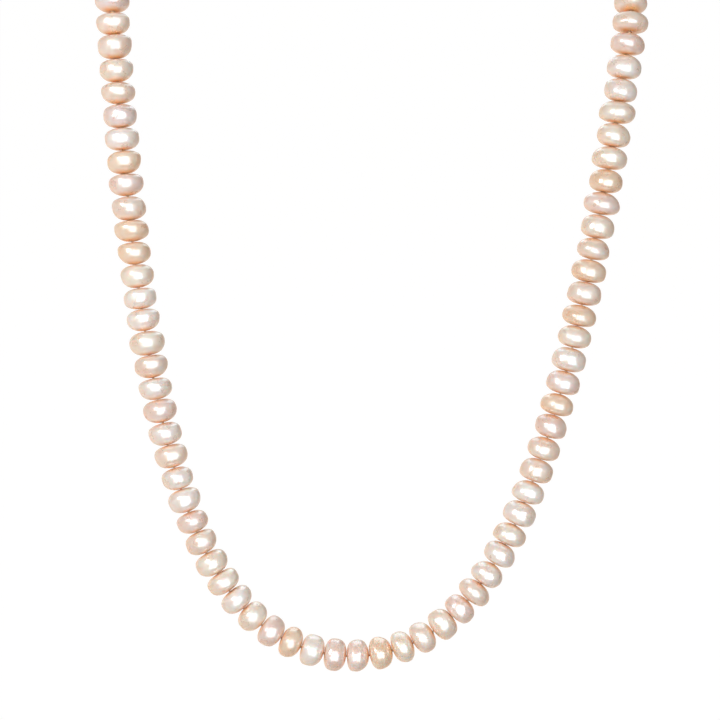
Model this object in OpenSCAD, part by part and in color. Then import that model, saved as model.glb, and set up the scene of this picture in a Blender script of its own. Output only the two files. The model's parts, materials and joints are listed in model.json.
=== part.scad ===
// A single strand of button-shaped freshwater pearls on silk, closed by a lobster clasp.
//
// Millimetres, +Z up. The necklace hangs as it is worn. The origin is the middle of the clasp,
// where the strand rests on the nape of the neck. The wearer faces -Y. The front drop hangs in
// a vertical plane parallel to XZ, and the neck part curves back and up from it to the nape.
//
// The strand is a row of stations, which are the points between neighbouring pearls, numbered
// from 0 at the lowest point up to the clasp on each side. Every pearl lies on the straight line
// between two stations, so its drill hole and the silk inside it follow that line.

/* [Pearls] */
// Width of a pearl across the strand, at the top of the front drop
pearl_width = 6.7; // [6:0.1:7.2]
// Width of the pearls at the lowest point
bottom_pearl_width = 6.1; // [5.6:0.1:7]
// How much wider or narrower single pearls are
width_spread = 0.35; // [0:0.05:0.5]
// Average distance from one pearl to the next along the strand
pearl_pitch = 4.35; // [4.1:0.05:4.6]
// Share by which single pearls are thicker or thinner
pitch_spread = 0.07; // [0:0.01:0.1]
// Share of the thickness that lies on the flatter side of a pearl
flat_share = 0.44; // [0.38:0.02:0.5]
// Diameter of the drill hole
drill_d = 0.8; // [0.7:0.05:1]
// Closest that neighbouring pearls come to each other
least_gap = 0.05; // [0.03:0.01:0.1]

/* [Front drop] */
// Half width of the curve's round lower part
drop_curve = 13.2; // [12:0.1:15]
// Rise of the curve against a plain hanging chain
drop_rise = 0.463; // [0.4:0.01:0.6]
// Angle in degrees that the drop can swing each way at every bend
bend_limit = 12; // [8:1:14]

/* [Neck] */
// Number of pearls on each side between the drop and the clasp
neck_count = 17; // [16:1:18]
// Distance from the plane of the drop back to the nape
neck_depth = 44; // [42:1:46]
// Height of the nape over the top of the drop
neck_rise = 36; // [34:1:38]

/* [Silk] */
// Diameter of the silk thread
silk_d = 0.5; // [0.4:0.05:0.6]
// Clearance between the ends of two lengths of silk where the strand bends
silk_gap = 0.12; // [0.1:0.01:0.2]
// Diameter of the knot inside each bead tip
knot_d = 1.7; // [1.4:0.1:2]

/* [Clasp] */
// Diameter of a bead tip's cup
tip_d = 3.8; // [3.6:0.1:4]
// Wall of a bead tip's cup
tip_wall = 0.4; // [0.3:0.05:0.5]
// Diameter of the rings' wire
ring_wire = 0.8; // [0.7:0.05:0.8]
// Diameter of the loop wire on the bead tips and the lobster
loop_wire = 0.7; // [0.6:0.05:0.8]
// Thickness of the lobster's body
lobster_t = 2; // [1.8:0.1:2]
// Thickness of the lobster's lever
lever_t = 0.9; // [0.8:0.05:0.9]
// Diameter of the rivet that the lever turns on
rivet_d = 0.8; // [0.7:0.05:0.9]

/* [Hidden] */

left = -1;
right = 1;

// Smoothness of curves, outlines, silk and round faces
path_steps = 160;
profile_steps = 6;
silk_sides = 8;
round_fn = 48;
wire_fn = 24;

// Pearls on each side of the lowest point that stay together
bottom_count = 4;
// Links in the drop above them, with two pearls on each side
link_count = 14;
// Distance from the middle of the clasp to the last pearl
clasp_half = 14;
// Outer diameter of the jump ring and the end ring
ring_d = 4.6;

// Roundness of a pearl's two sides. Lower values are squarer.
flat_swell = 0.86;
dome_swell = 0.97;

drop_count = bottom_count + 2 * link_count;
strand_count = drop_count + neck_count;

// Colours
peach = "#F3D9C6";
rose = "#EBCFC8";
cream = "#F6E8D8";
mauve = "#E2CBCB";
silk_colour = "#F0DCC8";
gold = "#D9B25F";

// ---- Curves ----------------------------------------------------------------------------

function cosh(u) = (exp(u) + exp(-u)) / 2;

// Running lengths along a list of points, as [length, index] pairs to look places up in
function run_lengths(points) = [
    for (i = 0, run = 0; i < len(points); i = i + 1,
         run = run + (i < len(points) ? norm(points[i] - points[i - 1]) : 0))
    [run, i]
];

// The point at a length along a list of points
function along(points, lengths, run) =
    let (place = lookup(run, lengths),
         i = min(floor(place), len(points) - 2))
    points[i] + (place - i) * (points[i + 1] - points[i]);

// Right half of the front drop, from its lowest point up, drawn about that point. Its reach is
// long enough for every pearl of the drop.
drop_reach = 3.95;
drop_line = [
    for (i = [0 : path_steps])
    let (u = drop_reach * i / path_steps)
    [drop_curve * u, 0, drop_rise * drop_curve * (cosh(u) - 1)]
];
drop_lengths = run_lengths(drop_line);

// How much thicker or thinner each pearl is, as a share of pitch_spread
thickness_pattern = [0, 0.5, -0.6, 0.2, 0.9, -0.3, -1, 0.4, 0, -0.7, 0.7, -0.2, 0.3];
function pitch_of(i) =
    pearl_pitch * (1 + pitch_spread * thickness_pattern[i % len(thickness_pattern)]);
function run_to(i) = i <= 0 ? 0 : run_to(i - 1) + pitch_of(i - 1);

drop_run = run_to(drop_count);
drop_top = along(drop_line, drop_lengths, drop_run);
drop_step = drop_top - along(drop_line, drop_lengths, drop_run - 1);
drop_heading = drop_step / norm(drop_step);
drop_shift = [0, -neck_depth, -neck_rise - drop_top.z];

// Right half of the neck part, a Bezier curve from the top of the drop to the bead tip
neck_start = drop_top + drop_shift;
neck_end = [clasp_half, 0, 0];
neck_pull_up = 20;
neck_pull_out = [26, -4, -2];
neck_hull = [
    neck_start,
    neck_start + neck_pull_up * drop_heading,
    neck_end + neck_pull_out,
    neck_end
];
neck_line = [
    for (i = [0 : path_steps])
    let (t = i / path_steps, s = 1 - t)
    s * s * s * neck_hull[0] + 3 * s * s * t * neck_hull[1]
        + 3 * s * t * t * neck_hull[2] + t * t * t * neck_hull[3]
];
neck_lengths = run_lengths(neck_line);
neck_run = neck_lengths[path_steps][0];

// Station i on the right side. The neck's pearls share the whole neck length.
function right_station(i) =
    i <= drop_count
    ? along(drop_line, drop_lengths, run_to(i)) + drop_shift
    : along(neck_line, neck_lengths,
            neck_run * (run_to(i) - drop_run) / (run_to(strand_count) - drop_run));
right_stations = [for (i = [0 : strand_count]) right_station(i)];
function station(side, i) =
    [side * right_stations[i].x, right_stations[i].y, right_stations[i].z];

// The strand bends at every second station of the drop, from the top down to the bottom group
function bends_at(i) = i >= bottom_count && i <= drop_count && (i - bottom_count) % 2 == 0;

// Angle in degrees between two directions
function angle_between(a, b) = acos(min(1, a * b / norm(a) / norm(b)));

// Angle in degrees that the strand turns by at station i
function turn_at(i) =
    i == strand_count
    ? angle_between(station(right, i) - station(right, i - 1), [left, 0, 0])
    : angle_between(
        station(right, i + 1) - station(right, i),
        station(right, i) - (i == 0 ? station(left, 1) : station(right, i - 1))
    );

// Angle in degrees that two neighbours can make at most. The drop turns sideways and swings
// forwards and back, but at its top it swings the way that the neck part turns.
function most_turn_at(i) =
    i == drop_count
    ? turn_at(i) + bend_limit
    : sqrt(pow(turn_at(i), 2) + (bends_at(i) ? pow(bend_limit, 2) : 0));

// Two rounded pearls that turn about the middle of their gap need room that grows with the
// square of the angle
turn_room = 1.3 * pow(pearl_width / 2, 2) / (2 * pearl_pitch) * pow(PI / 180, 2);
function gap_at(i) = least_gap + turn_room * pow(most_turn_at(i), 2);

// ---- Pearls ----------------------------------------------------------------------------

// How much wider or narrower each pearl is, as a share of width_spread
width_pattern = [0.2, -0.5, 0.7, 0, -0.9, 0.4, 1, -0.3, 0.1, -0.7, 0.5];
right_side_start = 4;
function width_of(side, i) =
    let (rise = min(i / drop_count, 1),
         place = side == right ? i + right_side_start : i)
    bottom_pearl_width + (pearl_width - bottom_pearl_width) * rise
        + width_spread / 2 * width_pattern[place % len(width_pattern)];

// One side of a pearl's outline, from the drill hole out to the widest circle
function outline(radius, height, swell) =
    let (first = asin(pow(drill_d / 2 / radius, 1 / swell)))
    [
        for (k = [0 : profile_steps])
        let (t = first + (90 - first) * k / profile_steps)
        [radius * pow(sin(t), swell), height * pow(cos(t), swell)]
    ];

// A pearl about the origin, its drill hole along Z and its flatter side up
module pearl(width, thickness) {
    flat_h = thickness * flat_share;
    dome_h = thickness - flat_h;
    flat_side = outline(width / 2, flat_h, flat_swell);
    dome_side = outline(width / 2, dome_h, dome_swell);
    points = concat(
        flat_side,
        [for (k = [profile_steps - 1 : -1 : 0]) [dome_side[k].x, -dome_side[k].y]]
    );
    translate([0, 0, thickness / 2 - flat_h])
        rotate_extrude($fn = round_fn)
            polygon(points);
}

// Puts its children at a point with their Z axis along a direction
module aim(at, direction) {
    length = norm(direction);
    tilt = acos(direction.z / length);
    turn = atan2(direction.y, direction.x);
    translate(at)
        rotate([0, tilt, turn])
            children();
}

// Pearl i of one side, between stations i and i + 1. Along the strand the flatter side of
// every pearl faces the left end.
module strand_pearl(side, i) {
    low = station(side, i);
    high = station(side, i + 1);
    heading = (high - low) / norm(high - low);
    start = low + heading * gap_at(i) / 2;
    end = high - heading * gap_at(i + 1) / 2;
    aim((start + end) / 2, -side * heading)
        pearl(width_of(side, i), norm(end - start));
}

// A run of pearls, from pearl first to pearl last
module pearls(side, first, last) {
    colours = [peach, rose, cream, peach, mauve];
    for (i = [first : last])
        color(colours[(i + side + 1) % len(colours)])
            strand_pearl(side, i);
}

// Number of the lower pearl of a link. Links are numbered from the top of the drop down.
function link_start(link) = drop_count - 2 * link;

// ---- Silk ------------------------------------------------------------------------------

// A many-sided tube along a list of points
module tube(points, diameter) {
    last = len(points) - 1;
    rings = [
        for (i = [0 : last])
        let (along_here = points[min(i + 1, last)] - points[max(i - 1, 0)],
             forward = along_here / norm(along_here),
             across = cross(forward, [0, 0.6, 0.8]),
             side_axis = across / norm(across),
             up_axis = cross(forward, side_axis))
        for (k = [0 : silk_sides - 1])
        let (turn = 360 * k / silk_sides)
        points[i] + diameter / 2 * (cos(turn) * side_axis + sin(turn) * up_axis)
    ];
    walls = [
        for (i = [0 : last - 1], k = [0 : silk_sides - 1])
        let (a = i * silk_sides + k,
             b = i * silk_sides + (k + 1) % silk_sides)
        [a, b, b + silk_sides, a + silk_sides]
    ];
    start_cap = [for (k = [silk_sides - 1 : -1 : 0]) k];
    end_cap = [for (k = [0 : silk_sides - 1]) last * silk_sides + k];
    polyhedron(points = rings, faces = concat([start_cap], walls, [end_cap]));
}

// A point a little way from one point towards another
function towards(from, to, distance) = from + distance * (to - from) / norm(to - from);

// Silk of one side, from station first to station last, short of both by start_gap and end_gap
function silk_points(side, first, last, start_gap, end_gap) = [
    towards(station(side, first), station(side, first + 1), start_gap),
    for (i = [first + 1 : 1 : last - 1]) station(side, i),
    towards(station(side, last), station(side, last - 1), end_gap)
];

module link_thread(link) {
    first = link_start(link);
    color(silk_colour)
        for (side = [left, right])
            tube(silk_points(side, first, first + 2, silk_gap / 2, silk_gap / 2), silk_d);
}

module bottom_thread() {
    left_run = silk_points(left, 0, bottom_count, 0, silk_gap / 2);
    right_run = silk_points(right, 0, bottom_count, 0, silk_gap / 2);
    color(silk_colour)
        tube(
            concat(
                [for (i = [bottom_count : -1 : 1]) left_run[i]],
                right_run
            ),
            silk_d
        );
}

// The silk of the neck part, through its pearls and into the knot
module neck_thread(side) {
    run = silk_points(side, drop_count, strand_count, silk_gap / 2, 0);
    inside_tip = [side * (tip_x + knot_d / 2), 0, 0];
    color(silk_colour)
        tube(concat(run, [inside_tip]), silk_d);
}

// The knot that keeps the silk from slipping out of a bead tip
module knot(side) {
    color(silk_colour)
        translate([side * tip_x, 0, 0])
            sphere(d = knot_d, $fn = round_fn);
}

// ---- Clasp -----------------------------------------------------------------------------

// The clasp lies along X at the nape. Loops lie flat, in the XY plane, and rings stand up, in
// the XZ plane, so each hangs in the next one's hole.
link_play = 0.1;
ring_r = (ring_d - ring_wire) / 2;
loop_r = 1.15;
tip_x = clasp_half - 0.05 - tip_d / 2;
tip_hole_d = 0.9;
loop_sink = 0.5;
tip_loop_x = tip_x - tip_d / 2 - loop_r - loop_wire / 2 + loop_sink;
ring_x = tip_loop_x - loop_r + (loop_wire + ring_wire) / 2 + link_play - ring_r;
ring_inner_x = ring_x - ring_r;
tail_loop_x = ring_inner_x + (ring_wire + loop_wire) / 2 + link_play - loop_r;

// A ring of round wire about the origin, flat in the XY plane
module wire_ring(radius, wire) {
    rotate_extrude($fn = round_fn)
        translate([radius, 0])
            circle(d = wire, $fn = wire_fn);
}

// A hollow cup over the knot, with a hole for the silk and a loop for the ring
module bead_tip(side) {
    mirror([side == left ? 1 : 0, 0, 0])
        color(gold)
            union() {
                difference() {
                    translate([tip_x, 0, 0])
                        rotate([0, 90, 0])
                            sphere(d = tip_d, $fn = round_fn);
                    translate([tip_x, 0, 0])
                        rotate([0, 90, 0])
                            sphere(d = tip_d - 2 * tip_wall, $fn = round_fn);
                    translate([tip_x, 0, 0])
                        rotate([0, 90, 0])
                            cylinder(d = tip_hole_d, h = tip_d, $fn = round_fn);
                }
                translate([tip_loop_x, 0, 0])
                    wire_ring(loop_r, loop_wire);
            }
}

module standing_ring(x) {
    color(gold)
        translate([x, 0, 0])
            rotate([90, 0, 0])
                wire_ring(ring_r, ring_wire);
}

// Lobster: the claw holds the end ring, the lever closes it, the tail loop holds the jump ring.
// The end ring's wire stands in the lower half of the claw, so that the lever can swing in.
claw = [-ring_inner_x - 0.15, 0.5];
claw_r = 2.2;
claw_hole_r = 1.5;
hook_tip_x = claw.x - 0.9;
opening_y = 1.35;
pivot = [1.4, 0.45];
slot = [-1.9, -0.75];
slot_t = lever_t + 0.1;
tail_x = tail_loop_x - loop_r;
spring_t = 0.15;
spring_floor = slot.y + 0.02;

// Outline of the lobster without its opening
module lobster_outline() {
    translate(claw)
        circle(r = claw_r, $fn = round_fn);
    polygon([
        [claw.x, claw.y - claw_r],
        [0.8, -1.6],
        [2.9, -0.95],
        [tail_x, -0.5],
        [tail_x, 0.5],
        [2.9, 1.4],
        [1.4, 2.3],
        [-1.2, 2.6],
        [claw.x, claw.y + claw_r]
    ]);
}

// The space inside the claw, reaching back to the lever's slot
module claw_space() {
    translate(claw)
        circle(r = claw_hole_r, $fn = round_fn);
    polygon([
        [claw.x, claw.y - claw_hole_r],
        [-2.6, -0.8],
        [-1.8, -0.1],
        [-1.8, 1.6],
        [claw.x, claw.y + claw_hole_r]
    ]);
}

module lobster_body() {
    color(gold)
        union() {
            difference() {
                translate([0, 0, -lobster_t / 2])
                    linear_extrude(lobster_t)
                        lobster_outline();
                translate([0, 0, -lobster_t])
                    linear_extrude(2 * lobster_t)
                        claw_space();
                // Opening that the lever closes
                translate([hook_tip_x, opening_y, -lobster_t])
                    cube([-1.7 - hook_tip_x, claw_r, 2 * lobster_t]);
                // Slot for the lever
                translate([slot.x, slot.y, -slot_t / 2])
                    cube([4.5, 4, slot_t]);
                // Rivet hole
                translate([pivot.x, pivot.y, -lobster_t])
                    cylinder(d = rivet_d + 0.04, h = 2 * lobster_t, $fn = round_fn);
            }
            translate([tail_loop_x, 0, 0])
                wire_ring(loop_r, loop_wire);
        }
}

// The lever's arm closes the claw, and its tab stands out of the slot for a fingernail
module lobster_lever() {
    arm_x = hook_tip_x + 0.15;
    color(gold)
        translate([0, 0, -lever_t / 2])
            difference() {
                linear_extrude(lever_t) {
                    translate(pivot)
                        circle(r = 0.85, $fn = round_fn);
                    polygon([
                        [1.4, -0.25],
                        [2, 0.95],
                        [0.7, 2.9],
                        [0.3, 3.4],
                        [-0.4, 3.4],
                        [-0.6, 2.85],
                        [-1.2, 2.55],
                        [arm_x, 2.55],
                        [arm_x, 1.85],
                        [-1.2, 1.6]
                    ]);
                }
                translate([pivot.x, pivot.y, -lever_t])
                    cylinder(d = rivet_d + 0.1, h = 3 * lever_t, $fn = round_fn);
            }
}

module lobster_rivet() {
    color(gold)
        translate([pivot.x, pivot.y, -lobster_t / 2])
            cylinder(d = rivet_d, h = lobster_t, $fn = round_fn);
}

// A leaf spring in the slot's floor, which presses the lever shut
module lobster_spring() {
    spring_w = lever_t - 0.1;
    color("silver")
        translate([0, 0, -spring_w / 2])
            linear_extrude(spring_w)
                polygon([
                    [1.9, spring_floor],
                    [-0.4, spring_floor],
                    [-1.55, 1.5],
                    [-1.55 + spring_t, 1.5],
                    [-0.3, spring_floor + spring_t],
                    [1.9, spring_floor + spring_t]
                ]);
}

// ---- Nodes -----------------------------------------------------------------------------

union() {  // bottom_pearls
    pearls(left, 0, bottom_count - 1);
    pearls(right, 0, bottom_count - 1);
}
bottom_thread();

for (link = [1 : link_count]) {
    number = str(link < 10 ? "0" : "", link);
    first = link_start(link);
    pearls(left, first, first + 1);
    pearls(right, first, first + 1);
    link_thread(link);
}

pearls(left, drop_count, strand_count - 1);  // neck_left_pearls
pearls(right, drop_count, strand_count - 1);  // neck_right_pearls
neck_thread(left);  // neck_left_thread
neck_thread(right);  // neck_right_thread
knot(left);  // left_knot
knot(right);  // right_knot
bead_tip(left);  // left_bead_tip
bead_tip(right);  // right_bead_tip
standing_ring(ring_x);  // jump_ring
standing_ring(-ring_x);  // end_ring
lobster_body();
lobster_lever();
lobster_rivet();
lobster_spring();
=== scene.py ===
"""A strand of button-shaped freshwater pearls on silk, with a gold lobster clasp at the nape.

Every pearl is built where the frame's own pearl lies, on the same drill hole, with the
ovality, lumps, skin tint and nacre sheen that single pearls have. Metres, +Z up.
"""

import json
import math
import random

import bpy
import numpy as np
from mathutils import Matrix, Vector, noise


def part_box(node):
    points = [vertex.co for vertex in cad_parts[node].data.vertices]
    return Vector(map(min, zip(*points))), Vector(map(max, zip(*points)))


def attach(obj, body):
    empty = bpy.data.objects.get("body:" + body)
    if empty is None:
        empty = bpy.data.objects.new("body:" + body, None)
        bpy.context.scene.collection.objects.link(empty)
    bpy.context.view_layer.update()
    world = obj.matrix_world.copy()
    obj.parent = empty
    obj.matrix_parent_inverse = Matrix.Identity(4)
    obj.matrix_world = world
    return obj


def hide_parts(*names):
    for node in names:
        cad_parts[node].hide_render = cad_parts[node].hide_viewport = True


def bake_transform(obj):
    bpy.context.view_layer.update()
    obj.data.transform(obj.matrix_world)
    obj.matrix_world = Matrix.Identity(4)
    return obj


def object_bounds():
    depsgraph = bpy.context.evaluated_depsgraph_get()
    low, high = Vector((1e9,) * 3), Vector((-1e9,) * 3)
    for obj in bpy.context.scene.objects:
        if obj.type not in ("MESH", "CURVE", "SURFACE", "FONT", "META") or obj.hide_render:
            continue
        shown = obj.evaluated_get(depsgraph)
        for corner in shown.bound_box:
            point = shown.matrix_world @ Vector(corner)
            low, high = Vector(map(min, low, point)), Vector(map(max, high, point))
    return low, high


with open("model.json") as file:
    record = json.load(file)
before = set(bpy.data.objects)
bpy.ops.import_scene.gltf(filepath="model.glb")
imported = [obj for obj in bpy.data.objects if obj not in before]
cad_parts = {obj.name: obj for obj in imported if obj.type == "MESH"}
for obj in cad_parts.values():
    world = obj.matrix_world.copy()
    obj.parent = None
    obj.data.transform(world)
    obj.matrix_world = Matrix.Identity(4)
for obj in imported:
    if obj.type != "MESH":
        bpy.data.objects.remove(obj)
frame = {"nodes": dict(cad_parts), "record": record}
CAD_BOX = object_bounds()
BODY_OF = {
    node: body
    for body, nodes in frame["record"]["behaviour"]["bodies"].items()
    for node in nodes
}
LINKS = sum(name.startswith("left_pearls_") for name in frame["nodes"])

MM = 0.001
LEFT, RIGHT = -1, 1


# ---- Camera, lights and stage --------------------------------------------------------------

VIEW_WIDTH = 136.8 * MM  # width of the picture at the plane of the front drop
LENS, SENSOR = 100, 36
ROLL = math.radians(2.2)  # the strand hangs a little off the camera's upright
FRAME_OVER_LOWEST = 56.0 * MM  # from the lowest station up to the picture's middle
FRAME_SIDEWAYS = 0.4 * MM

# Softboxes: place from the target, width, power and colour
SKY = (0.66, 0.87, 1.0)
KEY = ((-0.22, -0.28, 0.09), 0.08, 0.65, (0.86, 0.95, 1.0))
FILL = ((0.09, -0.50, -0.08), 0.60, 3.5, SKY)
BACK = ((0, 0.28, 0.44), 0.50, 1.3, SKY)

WARM_AIR = (1.0, 0.79, 0.62)  # colour of the light that comes from all round
BRIGHT_WAY = (-0.30, 0.85, -0.42)  # way in which the surroundings are brightest
AIR_REACH = (0.25, 0.9)  # nearness to that way over which they go from dim to bright
AIR_STRENGTH = (0.32, 1.1)

FLOOR_DROP = 0.12  # from the lowest pearl down to the floor
BACKDROP_Y, BACKDROP_CURVE, SWEEP_HALF = 0.75, 0.35, 3.0
CURVE_STEPS = 12


def place_camera():
    """Looks along +Y at the front drop, near enough for its ends to leave the picture."""
    low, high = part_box("bottom_pearls")
    lowest = low.z + (high.y - low.y) / 2
    target = Vector((FRAME_SIDEWAYS, (low.y + high.y) / 2, lowest + FRAME_OVER_LOWEST))
    data = bpy.data.cameras.new("camera")
    data.lens, data.sensor_width = LENS, SENSOR
    data.clip_start, data.clip_end = 0.01, 20
    camera = bpy.data.objects.new("camera", data)
    bpy.context.scene.collection.objects.link(camera)
    distance = VIEW_WIDTH * LENS / SENSOR
    camera.matrix_world = (
        Matrix.Translation(target + Vector((0, -distance, 0)))
        @ Matrix.Rotation(math.radians(90), 4, "X")
        @ Matrix.Rotation(ROLL, 4, "Z")
    )
    bpy.context.scene.camera = camera
    return target


def area_light(name, target, offset, size, watts, colour):
    """A square softbox that faces the target."""
    at = target + Vector(offset)
    data = bpy.data.lights.new(name, "AREA")
    data.shape, data.size = "SQUARE", size
    data.energy, data.color = watts, colour
    light = bpy.data.objects.new(name, data)
    light.location = at
    light.rotation_euler = (target - at).to_track_quat("-Z", "Y").to_euler()
    bpy.context.scene.collection.objects.link(light)
    return light


def build_world():
    """Soft surroundings: white where the camera sees them, dimmer and warmer as light."""
    world = bpy.data.worlds.new("studio")
    bpy.context.scene.world = world
    world.use_nodes = True
    tree = world.node_tree
    tree.nodes.clear()
    out = tree.nodes.new("ShaderNodeOutputWorld")
    mix = tree.nodes.new("ShaderNodeMixShader")
    seen = tree.nodes.new("ShaderNodeBackground")
    seen.inputs["Color"].default_value = (1, 1, 1, 1)
    lit = tree.nodes.new("ShaderNodeBackground")
    lit.inputs["Color"].default_value = (*WARM_AIR, 1)
    place = tree.nodes.new("ShaderNodeTexCoord")
    nearness = tree.nodes.new("ShaderNodeVectorMath")
    nearness.operation = "DOT_PRODUCT"
    nearness.inputs[1].default_value = BRIGHT_WAY
    tree.links.new(place.outputs["Generated"], nearness.inputs[0])
    strength = ranged(tree, nearness.outputs["Value"], *AIR_REACH, *AIR_STRENGTH)
    tree.links.new(strength, lit.inputs["Strength"])
    path = tree.nodes.new("ShaderNodeLightPath")
    tree.links.new(path.outputs["Is Camera Ray"], mix.inputs["Fac"])
    tree.links.new(lit.outputs[0], mix.inputs[1])
    tree.links.new(seen.outputs[0], mix.inputs[2])
    tree.links.new(mix.outputs[0], out.inputs["Surface"])


def build_stage():
    """A pale sweep: a floor that curves up into a backdrop."""
    floor_z = CAD_BOX[0][2] - FLOOR_DROP
    bend_y = BACKDROP_Y - BACKDROP_CURVE
    profile = [(-SWEEP_HALF, floor_z), (bend_y, floor_z)]
    for step in range(1, CURVE_STEPS + 1):
        turn = math.radians(90 * step / CURVE_STEPS)
        profile.append(
            (bend_y + BACKDROP_CURVE * math.sin(turn),
             floor_z + BACKDROP_CURVE * (1 - math.cos(turn)))
        )
    profile.append((BACKDROP_Y, SWEEP_HALF))
    corners = [(x, y, z) for y, z in profile for x in (-SWEEP_HALF, SWEEP_HALF)]
    faces = [(2 * i, 2 * i + 1, 2 * i + 3, 2 * i + 2) for i in range(len(profile) - 1)]
    sweep = new_object("sweep", corners, faces)
    material, tree, shader = new_material("white_sweep")
    shader.inputs["Base Color"].default_value = (0.05, 0.05, 0.05, 1)
    shader.inputs["Roughness"].default_value = 0.9
    shader.inputs["Specular IOR Level"].default_value = 0
    shader.inputs["Emission Color"].default_value = (1, 1, 1, 1)
    shader.inputs["Emission Strength"].default_value = 0.98
    sweep.data.materials.append(material)
    sweep.visible_diffuse = False
    sweep.visible_glossy = False


# ---- Helpers -------------------------------------------------------------------------------

def new_object(name, corners, faces):
    """A smooth-shaded mesh object."""
    mesh = bpy.data.meshes.new(name)
    mesh.from_pydata([tuple(c) for c in corners], [], faces)
    mesh.update()
    mesh.shade_smooth()
    piece = bpy.data.objects.new(name, mesh)
    bpy.context.scene.collection.objects.link(piece)
    return piece


def new_material(name):
    """A new material, with its node tree and its shader."""
    material = bpy.data.materials.new(name)
    material.use_nodes = True
    tree = material.node_tree
    return material, tree, tree.nodes["Principled BSDF"]


def add_node(tree, kind, **inputs):
    """A shader node with its input values set by name."""
    node = tree.nodes.new(kind)
    for name, value in inputs.items():
        node.inputs[name.replace("_", " ")].default_value = value
    return node


def noise_texture(tree, scale, detail=2, roughness=0.5):
    """Noise in the object's own metres."""
    place = tree.nodes.new("ShaderNodeTexCoord")
    texture = add_node(
        tree, "ShaderNodeTexNoise", Scale=scale, Detail=detail, Roughness=roughness
    )
    tree.links.new(place.outputs["Object"], texture.inputs["Vector"])
    return texture.outputs["Fac"]


def ranged(tree, value, low, high, to_low, to_high):
    """A value moved from one range to another, and kept in it."""
    node = add_node(
        tree, "ShaderNodeMapRange",
        From_Min=low, From_Max=high, To_Min=to_low, To_Max=to_high,
    )
    tree.links.new(value, node.inputs["Value"])
    return node.outputs["Result"]


def mixed(tree, amount, first, second, blend="MIX"):
    """Two colours mixed. Each is a socket or a plain colour, and so is the amount."""
    node = tree.nodes.new("ShaderNodeMix")
    node.data_type, node.blend_type = "RGBA", blend
    for socket, value in ((0, amount), (6, first), (7, second)):
        if isinstance(value, bpy.types.NodeSocket):
            tree.links.new(value, node.inputs[socket])
        elif isinstance(value, tuple):
            node.inputs[socket].default_value = (*value, 1)
        else:
            node.inputs[socket].default_value = value
    return node.outputs[2]


def bumped(tree, shader, layers):
    """Chains bumps, each a (height, strength, distance), into the shader's normal."""
    normal = None
    for height, strength, distance in layers:
        node = add_node(tree, "ShaderNodeBump", Strength=strength, Distance=distance)
        tree.links.new(height, node.inputs["Height"])
        if normal:
            tree.links.new(normal, node.inputs["Normal"])
        normal = node.outputs["Normal"]
    tree.links.new(normal, shader.inputs["Normal"])


def ride_and_replace(piece, node):
    """The piece stands for a node and moves with its body."""
    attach(piece, BODY_OF[node])
    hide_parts(node)


# ---- Materials -----------------------------------------------------------------------------

def nacre_material():
    """Layered nacre: each pearl's own tint with a painted warm glow towards its drill holes,
    where the pearls touch, faintly mottled, under a soft sheen and a thin clear gloss."""
    material, tree, shader = new_material("nacre")
    tint = tree.nodes.new("ShaderNodeAttribute")
    tint.attribute_name = "tint"
    # The painted warm glow where pearls touch, one value per corner, made in pearl_mesh
    near = tree.nodes.new("ShaderNodeAttribute")
    near.attribute_name = "painted_contact_glow"
    cloud = ranged(tree, noise_texture(tree, 420, 3), 0.35, 0.65, 0, 1)
    speck = ranged(tree, noise_texture(tree, 1500, 4, 0.65), 0.35, 0.7, 0, 1)
    paler = mixed(tree, 0.25, tint.outputs["Color"], (0.96, 0.87, 0.84))
    deeper = mixed(tree, 0.25, tint.outputs["Color"], (0.84, 0.48, 0.33))
    skin = mixed(tree, cloud, deeper, paler)
    skin = mixed(tree, ranged(tree, speck, 0, 1, 0, 0.12), skin, (0.93, 0.89, 0.86))
    # Painted glow: warm orange mixed in towards the drill holes, in place of the light that
    # bounces and shines through between touching pearls
    skin = mixed(tree, near.outputs["Fac"], skin, (1.0, 0.54, 0.23))
    tree.links.new(skin, shader.inputs["Base Color"])
    tree.links.new(ranged(tree, cloud, 0, 1, 0.26, 0.36), shader.inputs["Roughness"])
    shader.inputs["Metallic"].default_value = 0.1
    shader.inputs["IOR"].default_value = 2.5
    shader.inputs["Subsurface Weight"].default_value = 0.5
    shader.inputs["Subsurface Radius"].default_value = (1.0, 0.6, 0.42)
    shader.inputs["Subsurface Scale"].default_value = 1.1 * MM
    shader.inputs["Coat Weight"].default_value = 0.6
    shader.inputs["Coat Roughness"].default_value = 0.18
    shader.inputs["Coat IOR"].default_value = 1.6
    bumped(
        tree, shader,
        [(noise_texture(tree, 420, 1), 0.16, 0.5 * MM),
         (noise_texture(tree, 1000, 2, 0.5), 0.09, 0.2 * MM),
         (noise_texture(tree, 2600, 2, 0.5), 0.03, 0.05 * MM)],
    )
    return material


def silk_material():
    material, tree, shader = new_material("silk")
    fibre = noise_texture(tree, 5200, 3, 0.7)
    colour = mixed(tree, fibre, (0.96, 0.60, 0.32), (1.0, 0.78, 0.54))
    tree.links.new(colour, shader.inputs["Base Color"])
    tree.links.new(ranged(tree, fibre, 0, 1, 0.5, 0.75), shader.inputs["Roughness"])
    shader.inputs["Sheen Weight"].default_value = 0.4
    shader.inputs["Sheen Roughness"].default_value = 0.4
    bumped(tree, shader, [(fibre, 0.3, 0.03 * MM)])
    return material


def gold_material():
    """Polished gold plating with faint wear and hairlines."""
    material, tree, shader = new_material("gold")
    wear = ranged(tree, noise_texture(tree, 700, 4, 0.6), 0.4, 0.7, 0, 1)
    colour = mixed(tree, wear, (0.90, 0.66, 0.30), (0.80, 0.55, 0.24))
    tree.links.new(colour, shader.inputs["Base Color"])
    tree.links.new(ranged(tree, wear, 0, 1, 0.14, 0.3), shader.inputs["Roughness"])
    shader.inputs["Metallic"].default_value = 1
    bumped(tree, shader, [(noise_texture(tree, 2400, 3, 0.7), 0.06, 0.02 * MM)])
    return material


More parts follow.
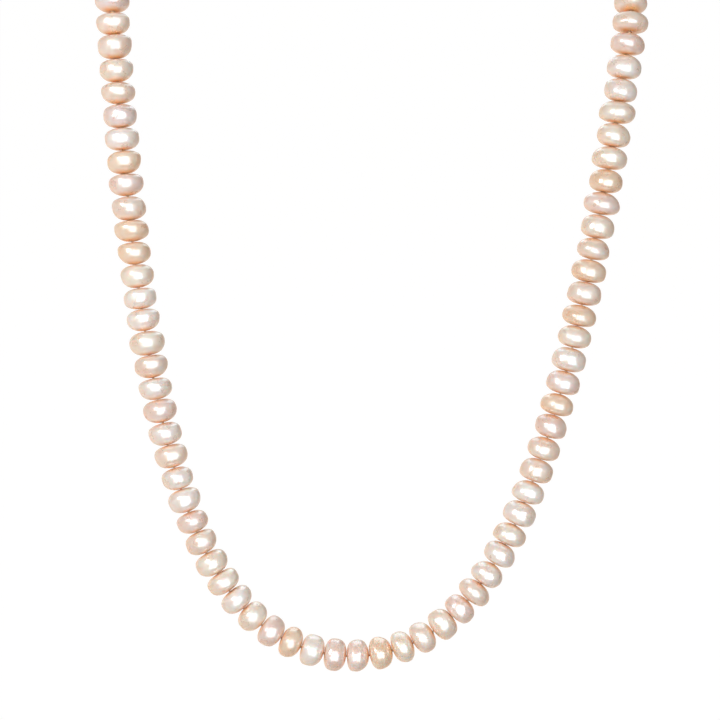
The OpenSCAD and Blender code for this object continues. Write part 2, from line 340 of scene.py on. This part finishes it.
def steel_material():
    material, tree, shader = new_material("spring_steel")
    grain = noise_texture(tree, 3000, 2)
    colour = mixed(tree, grain, (0.52, 0.52, 0.54), (0.66, 0.66, 0.68))
    tree.links.new(colour, shader.inputs["Base Color"])
    tree.links.new(ranged(tree, grain, 0, 1, 0.25, 0.4), shader.inputs["Roughness"])
    shader.inputs["Metallic"].default_value = 1
    return material


# ---- Pearls --------------------------------------------------------------------------------

PEARL_STEPS = 17  # rings from a drill hole to the widest circle
PEARL_SIDES = 52
FLAT_SWELL, DOME_SWELL = (0.71, 0.84), (0.79, 0.95)  # lower values are squarer
SIZE_SPREAD = 0.025
BORE_R = 0.4 * MM  # of the drill hole
FIRST_SEED = 1000
DEPTH_SHARE = 4  # what going back counts for against going up, in a pearl's place on the strand
GLOW_REACH, GLOW_FADE = 0.74, 0.36  # how far out from the drill hole the painted contact glow reaches, in radii
# Strength of the painted warm glow towards the drill holes, where the pearls touch
PAINTED_GLOW_STRENGTH = 0.9
LUMP = 0.040  # height of the broad lumps, as a share of the radius
BROAD, FINE = 1.3, 3.1  # closeness of the broad lumps and of the finer ones on them
FINE_SHARE = 0.4  # height of the finer lumps, as a share of the broad ones
RIPPLE = 0.004  # height of the growth ripples round the drill hole, as a share of the radius
RIPPLES = (5, 7, 9)  # ripples from one drill hole to the other, twice over
OVALITY = 0.05  # most that one width is narrower than the other
LEAN = 0.10  # most that the widest circle leans, as a share of the radius
PIT_DEPTH, PIT_WIDTH = 0.022, 0.2  # as shares of the radius
PIT_SHARE = 0.35  # share of the pearls that have a pit
SHADE_SPREAD = 0.03  # most that one pearl is lighter or darker than its tint

# Skin tints, from the palest to the deepest
TINTS = {
    "w": (0.90, 0.77, 0.69),
    "c": (0.90, 0.73, 0.59),
    "p": (0.88, 0.67, 0.54),
    "a": (0.88, 0.61, 0.41),
    "r": (0.87, 0.64, 0.55),
    "m": (0.82, 0.65, 0.60),
}
# Their order up each side, from the lowest pearl to the clasp
TINT_ORDER = {
    LEFT: "rwarcwccprwwpwrwpcwwcaaprawmpcppm" "cprwcampcrwapcmw",
    RIGHT: "racpcrpwwcwwpprarwcapapcracccwwrp" "pcmrwcapwrcmpacw",
}


def islands(mesh):
    """The separate solids of a mesh, as arrays of corner positions."""
    parent = list(range(len(mesh.vertices)))

    def root(i):
        while parent[i] != i:
            parent[i] = parent[parent[i]]
            i = parent[i]
        return i

    # Corners that are less than about 0.1 micrometres apart are the same one
    places = {}
    for vertex in mesh.vertices:
        key = tuple(round(c * 1e7) for c in vertex.co)
        if key in places:
            parent[root(vertex.index)] = root(places[key])
        else:
            places[key] = vertex.index
    for edge in mesh.edges:
        parent[root(edge.vertices[0])] = root(edge.vertices[1])
    groups = {}
    for vertex in mesh.vertices:
        groups.setdefault(root(vertex.index), []).append(vertex.co[:])
    return [np.array(points) for points in groups.values()]


def measure_pearl(points):
    """Where a pearl of the frame lies: the middle of its widest circle, its drill axis towards
    the flatter side, its radius, and its height on the flatter and on the domed side."""
    points = np.unique(points.round(8), axis=0)
    centre = points.mean(0)
    spread = np.linalg.svd(points - centre, full_matrices=False)[2]
    axis = min(spread, key=lambda a: np.ptp((points - centre) @ a))
    heights = (points - centre) @ axis
    radii = np.linalg.norm(points - centre - np.outer(heights, axis), axis=1)
    level = heights[radii > radii.max() - 1e-6].mean()
    flat, dome = heights.max() - level, level - heights.min()
    middle = Vector(centre + axis * level)
    if flat > dome:
        axis, flat, dome = -axis, dome, flat
    return {
        "centre": middle, "axis": Vector(axis), "radius": radii.max(),
        "flat": flat, "dome": dome,
    }


def pearl_profile(radius, flat, dome, flat_swell, dome_swell):
    """Rings of a pearl from the drill hole on its flatter side to the one on its domed side:
    (distance from the drill axis, height, share of the way from the pole to the middle)."""
    rings = []
    for height, swell in ((flat, flat_swell), (-dome, dome_swell)):
        first = math.asin((BORE_R / radius) ** (1 / swell))
        side = []
        for step in range(PEARL_STEPS + 1):
            turn = first + (math.pi / 2 - first) * step / PEARL_STEPS
            out = radius * math.sin(turn) ** swell
            up = height * max(math.cos(turn), 0) ** swell
            side.append((out, up, math.sin(turn)))
        rings.append(side)
    return rings[0] + rings[1][-2::-1]


def pearl_mesh(pearl, tint, seed):
    """Corners, faces, and each corner's tint and painted contact glow, from its nearness to the
    drill hole, of one pearl.
    """
    dice = random.Random(seed)
    radius = pearl["radius"] * (1 + dice.uniform(-SIZE_SPREAD, SIZE_SPREAD))
    swells = dice.uniform(*FLAT_SWELL), dice.uniform(*DOME_SWELL)
    narrow = 1 - OVALITY * dice.random()
    oval_turn = dice.uniform(0, math.pi)
    lean, lean_turn = LEAN * dice.random(), dice.uniform(0, 2 * math.pi)
    noise_at = Vector([dice.uniform(0, 50) for _ in range(3)])
    ripple_phase = dice.uniform(0, 2 * math.pi)
    ripples = dice.choice(RIPPLES)
    pit = None
    if dice.random() < PIT_SHARE:
        pit_turn, pit_up = dice.uniform(0, 2 * math.pi), dice.uniform(-0.4, 0.4)
        pit = Vector((math.cos(pit_turn), math.sin(pit_turn), pit_up)).normalized()
    turn_to = pearl["axis"].to_track_quat("Z", "Y").to_matrix()

    corners, near = [], []
    rings = pearl_profile(radius, pearl["flat"], pearl["dome"], *swells)
    for out, up, share in rings:
        weight = share * share
        for k in range(PEARL_SIDES):
            turn = 2 * math.pi * k / PEARL_SIDES
            x, y = out * math.cos(turn), out * math.sin(turn)
            across = math.cos(turn - oval_turn)
            squeeze = 1 - (1 - narrow) * across * across * weight
            direction = Vector((x, y, up)).normalized()
            swell = LUMP * noise.noise(direction * BROAD + noise_at)
            swell += LUMP * FINE_SHARE * noise.noise(direction * FINE + noise_at)
            swell += RIPPLE * math.cos(ripples * math.acos(direction.z) + ripple_phase)
            if pit:
                swell -= PIT_DEPTH * math.exp(-((direction - pit).length / PIT_WIDTH) ** 2)
            grow = squeeze * (1 + swell * weight)
            tilt = lean * radius * math.cos(turn - lean_turn) * weight * (out / radius)
            point = Vector((x * grow, y * grow, up * grow + tilt))
            corners.append(pearl["centre"] + turn_to @ point)
            # Painted contact glow: full at the drill hole, where the neighbours touch, fading
            # out further round
            fade = max(0.0, GLOW_REACH - out / radius) / GLOW_FADE
            near.append(min(1.0, fade) * PAINTED_GLOW_STRENGTH)
    count = len(rings)
    faces = []
    for i in range(count):
        ring, after = i * PEARL_SIDES, (i + 1) % count * PEARL_SIDES
        for k in range(PEARL_SIDES):
            beside = (k + 1) % PEARL_SIDES
            faces.append((ring + k, after + k, after + beside, ring + beside))
    shade = 1 + dice.uniform(-SHADE_SPREAD, SHADE_SPREAD)
    colour = [min(1, c * shade) for c in tint]
    return corners, faces, [colour] * len(corners), near


def along_strand(pearl):
    """Grows from the lowest pearl up the drop, and on round the neck to the clasp."""
    return pearl["centre"].z + DEPTH_SHARE * pearl["centre"].y


def build_pearls(node, first_index, material):
    """One piece for all the pearls of a node, in their order up the strand."""
    found = [measure_pearl(points) for points in islands(frame["nodes"][node].data)]
    corners, faces, colours, near = [], [], [], []
    for side in (LEFT, RIGHT):
        own = [p for p in found if p["centre"].x * side > 0]
        own.sort(key=along_strand)
        for k, pearl in enumerate(own):
            place = first_index + k
            order = TINT_ORDER[side]
            tint = TINTS[order[place % len(order)]]
            seed = FIRST_SEED + 2 * place + (side == RIGHT)
            own_corners, own_faces, own_colours, own_glow = pearl_mesh(pearl, tint, seed)
            base = len(corners)
            corners += own_corners
            faces += [tuple(base + i for i in face) for face in own_faces]
            colours += own_colours
            near += own_glow
    piece = new_object(node.replace("pearls", "nacre"), corners, faces)
    mesh = piece.data
    tint_layer = mesh.attributes.new("tint", "FLOAT_COLOR", "POINT")
    tint_layer.data.foreach_set("color", [c for colour in colours for c in (*colour, 1.0)])
    # The painted warm glow where pearls touch, one value per corner
    glow_layer = mesh.attributes.new("painted_contact_glow", "FLOAT", "POINT")
    glow_layer.data.foreach_set("value", near)
    mesh.materials.append(material)
    ride_and_replace(piece, node)
    return found


def build_all_pearls():
    """Builds every pearl and returns those of each body, as measured, by body name."""
    material = nacre_material()
    bottom_count = len(islands(frame["nodes"]["bottom_pearls"].data)) // 2
    found = {"bottom": build_pearls("bottom_pearls", 0, material)}
    for link in range(1, LINKS + 1):
        first = bottom_count + 2 * (LINKS - link)
        found[link_body(link)] = [
            pearl
            for side in ("left", "right")
            for pearl in build_pearls(f"{side}_pearls_{link:02d}", first, material)
        ]
    found["neck"] = [
        pearl
        for side in ("left", "right")
        for pearl in build_pearls(f"neck_{side}_pearls", bottom_count + 2 * LINKS, material)
    ]
    return found


def link_body(link):
    """Name of the body of a link. Link 0 is the neck part and the last one the bottom."""
    if link == 0:
        return "neck"
    return "bottom" if link > LINKS else f"link_{link:02d}"


# ---- Silk ----------------------------------------------------------------------------------

SILK_R = 0.25 * MM
PLY_R = 0.14 * MM
PLY_SIDES = 6
TWIST_PITCH = 0.9 * MM  # length along the silk in which its two plies go round once
SILK_STEP = 0.15 * MM
KNOT_R = 0.80 * MM
KNOT_STEPS, KNOT_SIDES = 90, 10
LOOSE_REACH = 3  # how far the knot's curve goes from its middle before it is pulled tight


def ring_walls(count, sides, closed=False):
    """Faces between rings of corners, with flat ends unless the last ring meets the first."""
    faces = []
    for i in range(count if closed else count - 1):
        after = (i + 1) % count
        for k in range(sides):
            beside = (k + 1) % sides
            faces.append(
                (i * sides + k, i * sides + beside, after * sides + beside, after * sides + k)
            )
    if not closed:
        faces.append(tuple(range(sides))[::-1])
        faces.append(tuple((count - 1) * sides + k for k in range(sides)))
    return faces


def tube(path, radius, sides, closed=False):
    """Corners and faces of a round tube along a path."""
    count = len(path)
    corners = []
    side_axis = None
    for i, point in enumerate(path):
        ahead = path[(i + 1) % count] if closed else path[min(i + 1, count - 1)]
        behind = path[i - 1] if closed else path[max(i - 1, 0)]
        forward = (ahead - behind).normalized()
        if side_axis is None:
            side_axis = forward.orthogonal()
        side_axis = (side_axis - forward * side_axis.dot(forward)).normalized()
        up_axis = forward.cross(side_axis)
        for k in range(sides):
            turn = 2 * math.pi * k / sides
            corners.append(
                point + radius * (math.cos(turn) * side_axis + math.sin(turn) * up_axis)
            )
    return corners, ring_walls(count, sides, closed)


def joined(parts):
    """Several (corners, faces) as one."""
    corners, faces = [], []
    for own_corners, own_faces in parts:
        base = len(corners)
        corners += own_corners
        faces += [tuple(base + i for i in face) for face in own_faces]
    return corners, faces


def twisted(points):
    """Two plies wound round each other along a broken line."""
    line = [points[0]]
    for a, b in zip(points, points[1:]):
        steps = max(1, round((b - a).length / SILK_STEP))
        line += [a.lerp(b, k / steps) for k in range(1, steps + 1)]
    plies = [[], []]
    run = 0
    side_axis = (line[1] - line[0]).normalized().orthogonal()
    for i, point in enumerate(line):
        forward = (line[min(i + 1, len(line) - 1)] - line[max(i - 1, 0)]).normalized()
        side_axis = (side_axis - forward * side_axis.dot(forward)).normalized()
        up_axis = forward.cross(side_axis)
        if i:
            run += (point - line[i - 1]).length
        turn = 2 * math.pi * run / TWIST_PITCH
        offset = (SILK_R - PLY_R) * (math.cos(turn) * side_axis + math.sin(turn) * up_axis)
        plies[0].append(point + offset)
        plies[1].append(point - offset)
    return joined([tube(ply, PLY_R, PLY_SIDES) for ply in plies])


def silk_through(pearls, side):
    """Points along the drill holes of one side's pearls, from the lowest up the strand."""
    own = [p for p in pearls if p["centre"].x * side > 0]
    own.sort(key=along_strand)
    points = []
    for pearl in own:
        poles = [
            pearl["centre"] + pearl["axis"] * pearl["flat"],
            pearl["centre"] - pearl["axis"] * pearl["dome"],
        ]
        points += poles if side == RIGHT else poles[::-1]
    return points


def build_silk(found, material):
    """Silk for each bend, from the middle of one link to the middle of the next, and silk for
    the stiff runs of the neck and the bottom."""
    for bend in range(1, LINKS + 2):
        above, below = link_body(bend - 1), link_body(bend)
        parts = []
        for side in (LEFT, RIGHT):
            upper = silk_through(found[above], side)
            lower = silk_through(found[below], side)
            parts.append(twisted(lower[-2:] + upper[:2]))
        piece = new_object(f"silk_bend_{bend:02d}", *joined(parts))
        piece.data.materials.append(material)
        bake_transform(piece)
        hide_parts("bottom_thread" if bend > LINKS else f"thread_{bend:02d}")

    left, right = (silk_through(found["bottom"], side) for side in (LEFT, RIGHT))
    piece = new_object("silk_bottom", *twisted(left[-3::-1] + right[:-2]))
    piece.data.materials.append(material)
    ride_and_replace(piece, "bottom_thread")

    for side, name in ((LEFT, "left"), (RIGHT, "right")):
        low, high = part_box(f"{name}_knot")
        knot_at = (low + high) / 2
        points = silk_through(found["neck"], side)[2:]
        inner_end = knot_at + Vector((side * KNOT_R, 0, 0))
        piece = new_object(f"silk_neck_{name}", *twisted(points + [inner_end]))
        piece.data.materials.append(material)
        ride_and_replace(piece, f"neck_{name}_thread")
        build_knot(f"{name}_knot", knot_at, material)


def build_knot(node, at, material):
    """An overhand knot, pulled tight."""
    loose = [
        Vector((
            -math.sin(3 * a),
            math.sin(a) + 2 * math.sin(2 * a),
            math.cos(a) - 2 * math.cos(2 * a),
        ))
        for a in (2 * math.pi * k / KNOT_STEPS for k in range(KNOT_STEPS))
    ]
    scale = (KNOT_R - SILK_R) / LOOSE_REACH
    path = [at + point * scale for point in loose]
    piece = new_object(f"tied_{node}", *tube(path, SILK_R, KNOT_SIDES, closed=True))
    piece.data.materials.append(material)
    ride_and_replace(piece, node)


# ---- Clasp ---------------------------------------------------------------------------------

CAST_CELL = 0.055 * MM  # grid on which the cast pieces' edges are rounded
RING_STEPS, WIRE_SIDES = 72, 20
WIRE_SHARE = 0.95  # wire's thickness as a share of the room that the frame gives it
RING_CUT = math.radians(2.5)  # opening angle of the cut in a ring
RIVET_SIDES = 40
HEAD_SHARE = 1.45  # a rivet head's radius as a share of the pin's
HEAD_H = 0.12 * MM
HEAD_LIP = 0.01 * MM  # half the height of the step from the pin to its head


def cast_copy(node, name, material, smoothing):
    """A node's own shape with its edges rounded, as cast and tumbled metal has them."""
    copy = bpy.data.objects.new(name, frame["nodes"][node].data.copy())
    bpy.context.scene.collection.objects.link(copy)
    weld = copy.modifiers.new("weld", "WELD")
    weld.merge_threshold = 1e-6
    remesh = copy.modifiers.new("remesh", "REMESH")
    remesh.mode, remesh.voxel_size = "VOXEL", CAST_CELL
    smooth = copy.modifiers.new("smooth", "SMOOTH")
    smooth.factor, smooth.iterations = 0.5, smoothing
    shape = copy.evaluated_get(bpy.context.evaluated_depsgraph_get())
    mesh = bpy.data.meshes.new_from_object(shape)
    copy.modifiers.clear()
    copy.data = mesh
    mesh.name = name
    mesh.shade_smooth()
    mesh.materials.clear()
    mesh.materials.append(material)
    return copy


def build_ring(node, material, cut_at):
    """A ring of round wire, cut through at one place and pressed shut."""
    low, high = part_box(node)
    centre = (low + high) / 2
    wire_r = (high.y - low.y) / 2 * WIRE_SHARE
    ring_r = (high.x - low.x) / 2 - wire_r
    path = []
    for k in range(RING_STEPS + 1):
        turn = cut_at + RING_CUT / 2 + (2 * math.pi - RING_CUT) * k / RING_STEPS
        path.append(centre + ring_r * Vector((math.cos(turn), 0, math.sin(turn))))
    piece = new_object(f"{node}_wire", *tube(path, wire_r, WIRE_SIDES))
    piece.data.materials.append(material)
    ride_and_replace(piece, node)


def build_rivet(material):
    """A pin with a low domed head on each face of the lobster."""
    low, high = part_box("lobster_rivet")
    centre = (low + high) / 2
    pin_r, half = (high.x - low.x) / 2, (high.z - low.z) / 2
    head_r = pin_r * HEAD_SHARE
    side = [(pin_r, 0), (pin_r, half - HEAD_LIP), (head_r, half + HEAD_LIP)]
    side += [
        (head_r * math.cos(a), half + HEAD_LIP + HEAD_H * math.sin(a))
        for a in (math.radians(15 * k) for k in range(1, 6))
    ]
    outline = [(r, -z) for r, z in side[:0:-1]] + side
    corners = [
        centre + Vector((r * math.cos(a), r * math.sin(a), z))
        for r, z in outline
        for a in (2 * math.pi * k / RIVET_SIDES for k in range(RIVET_SIDES))
    ]
    faces = ring_walls(len(outline), RIVET_SIDES)
    piece = new_object("rivet_pin", corners, faces)
    piece.data.materials.append(material)
    ride_and_replace(piece, "lobster_rivet")


def build_spring(material):
    """The leaf spring, from the frame's own shape with its edges rounded."""
    piece = cast_copy("lobster_spring", "lobster_leaf", material, 1)
    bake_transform(piece)
    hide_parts("lobster_spring")


def build_clasp():
    gold, steel = gold_material(), steel_material()
    for node, name, smoothing in (
        ("left_bead_tip", "bead_tip_left", 4),
        ("right_bead_tip", "bead_tip_right", 4),
        ("lobster_body", "lobster_claw", 7),
        ("lobster_lever", "lobster_thumb", 4),
    ):
        ride_and_replace(cast_copy(node, name, gold, smoothing), node)
    build_spring(steel)
    build_ring("jump_ring", gold, math.radians(70))
    build_ring("end_ring", gold, math.radians(110))
    build_rivet(gold)


# ---- Run -----------------------------------------------------------------------------------

bpy.context.scene.view_settings.view_transform = "Standard"
target = place_camera()
build_world()
build_stage()
area_light("key", target, *KEY)
area_light("fill", target, *FILL)
area_light("back", target, *BACK).visible_camera = False
build_silk(build_all_pearls(), silk_material())
build_clasp()
